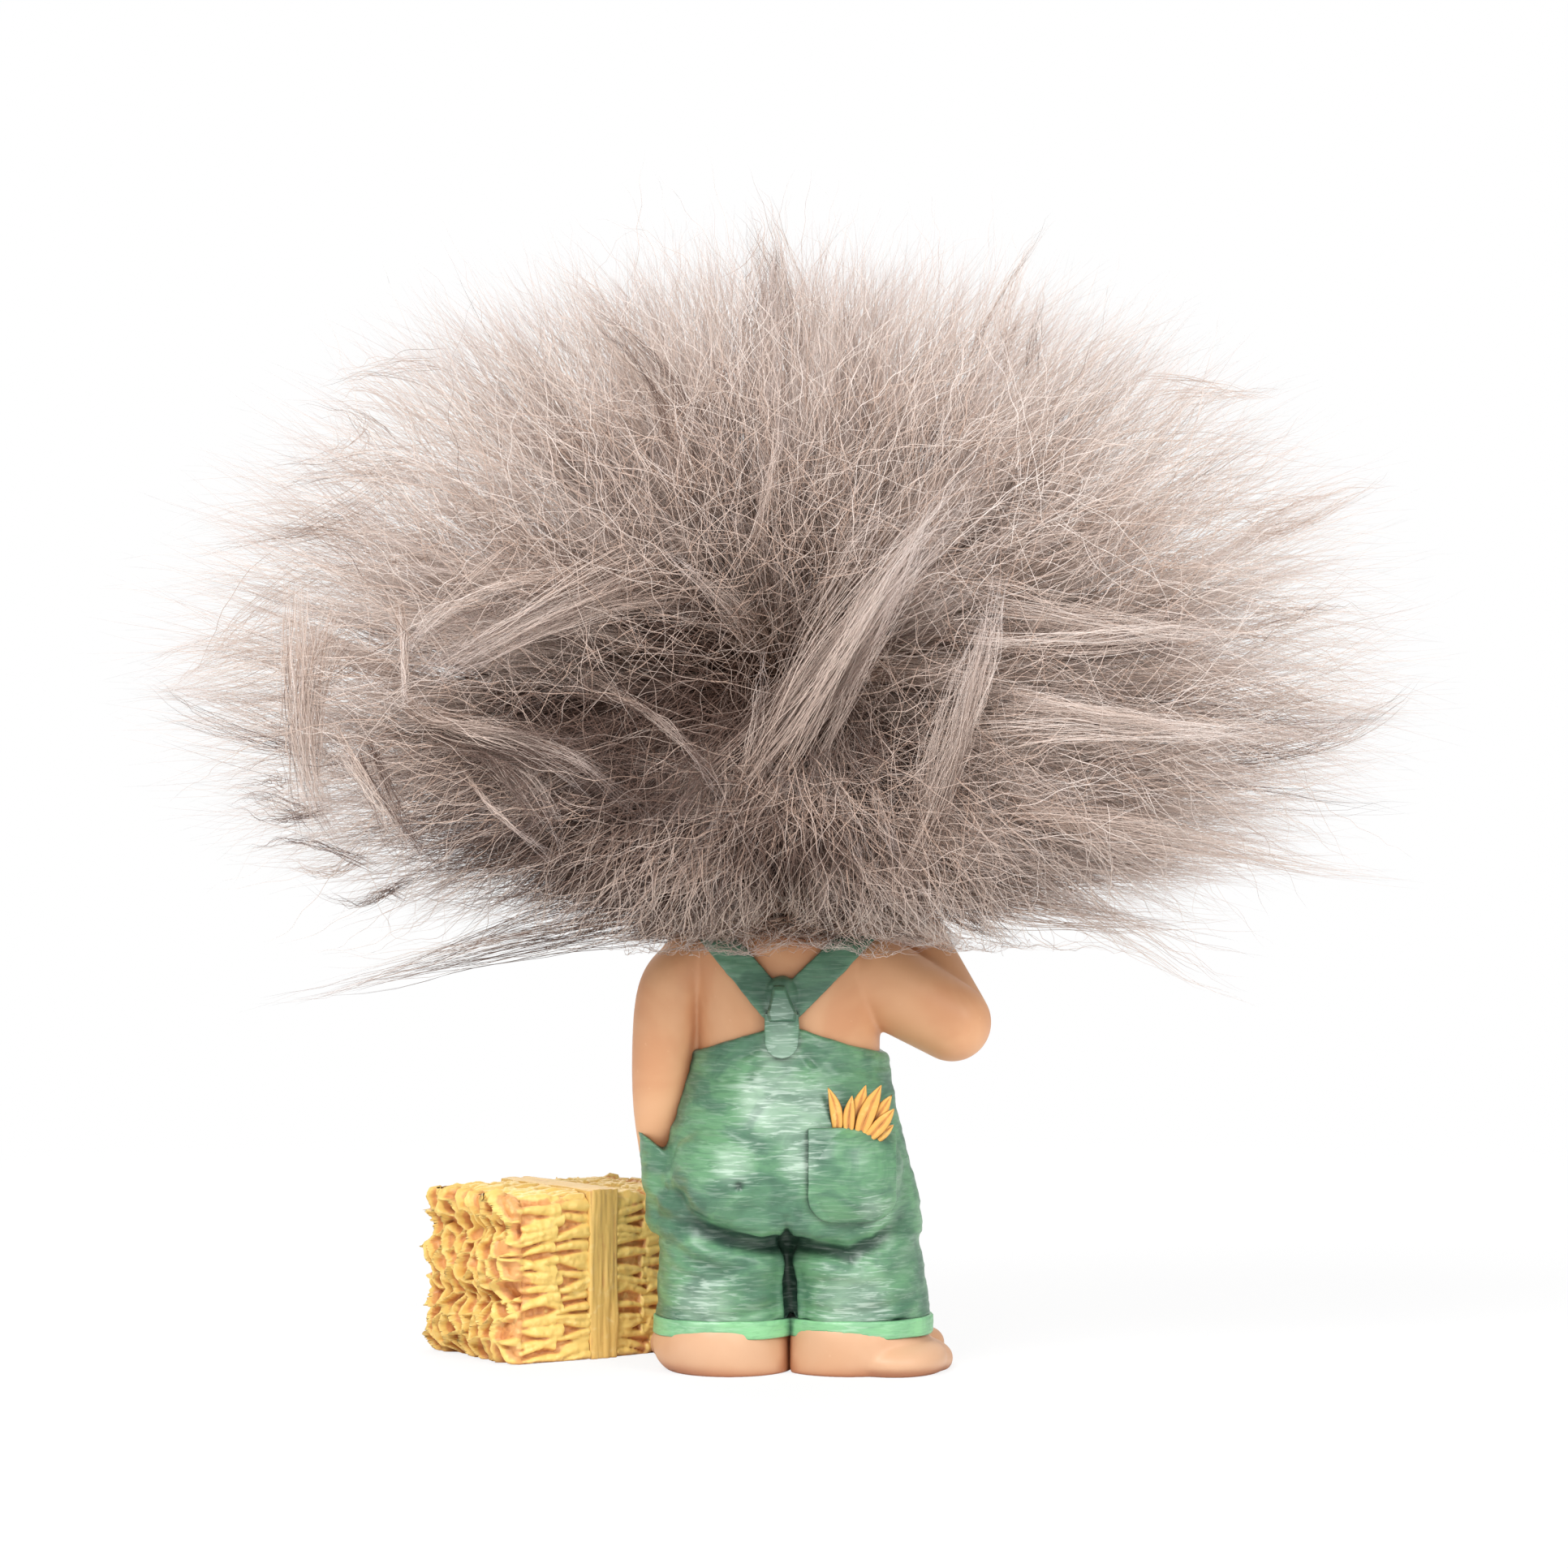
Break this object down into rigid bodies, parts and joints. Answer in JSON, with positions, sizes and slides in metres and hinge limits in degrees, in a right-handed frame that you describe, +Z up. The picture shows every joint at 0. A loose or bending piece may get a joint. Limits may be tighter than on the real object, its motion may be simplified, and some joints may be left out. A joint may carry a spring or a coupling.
{
  "type": "troll figurine",
  "caption": "Standing folk troll figurine in dungarees with a huge fleece wig, one hand in its pocket, beside a straw bale.",
  "frame": {"origin": "on the ground between the heels, on the left sole", "axes": "+X to the figure's left, -Y to its front, +Z up"},
  "size_m": [0.1838, 0.0966, 0.1702],
  "materials": {
    "skin": "painted cast resin, satin",
    "lip": "painted cast resin, satin",
    "brow_paint": "painted cast resin, matt",
    "eye_gloss": "gloss lacquer",
    "overalls_green": "painted cast resin, dry-brushed green",
    "hem_green": "painted cast resin, light green",
    "button_paint": "painted brass yellow",
    "straw": "painted cast resin, straw yellow over orange",
    "band_straw": "painted cast resin, pale straw",
    "straw_gold": "painted cast resin, golden",
    "hide": "fleece backing",
    "fleece": "long taupe fleece"
  },
  "bodies": {
    "root": {"torso": "skin", "left_arm": "skin", "right_upper_arm": "skin", "right_forearm": "skin", "right_hand": "skin", "head": "skin", "nose": "skin", "left_ear": "skin", "right_ear": "skin", "left_eyelid": "skin", "right_eyelid": "skin", "lower_lip": "lip", "brows": "brow_paint", "left_eye": "eye_gloss", "right_eye": "eye_gloss", "left_foot": "skin", "right_foot": "skin", "overalls_seat": "overalls_green", "left_trouser_leg": "overalls_green", "right_trouser_leg": "overalls_green", "left_hem": "hem_green", "right_hem": "hem_green", "bib": "overalls_green", "bib_pocket": "overalls_green", "back_pocket": "overalls_green", "side_pocket": "overalls_green", "left_strap": "overalls_green", "right_strap": "overalls_green", "strap_knot": "overalls_green", "strap_tab": "overalls_green", "bib_buttons": "button_paint", "pocket_straw": "straw_gold", "hay_bale": "straw", "bale_straws": "straw", "bale_straw_ends": "straw", "bale_band": "band_straw", "pelt_hide": "hide", "hair_fluff": "fleece", "hair_locks_middle": "fleece", "hair_locks_behind": "fleece", "hair_locks_farther_behind": "fleece", "hair_locks_far_behind": "fleece", "hair_locks_front": "fleece"}
  },
  "joints": []
}
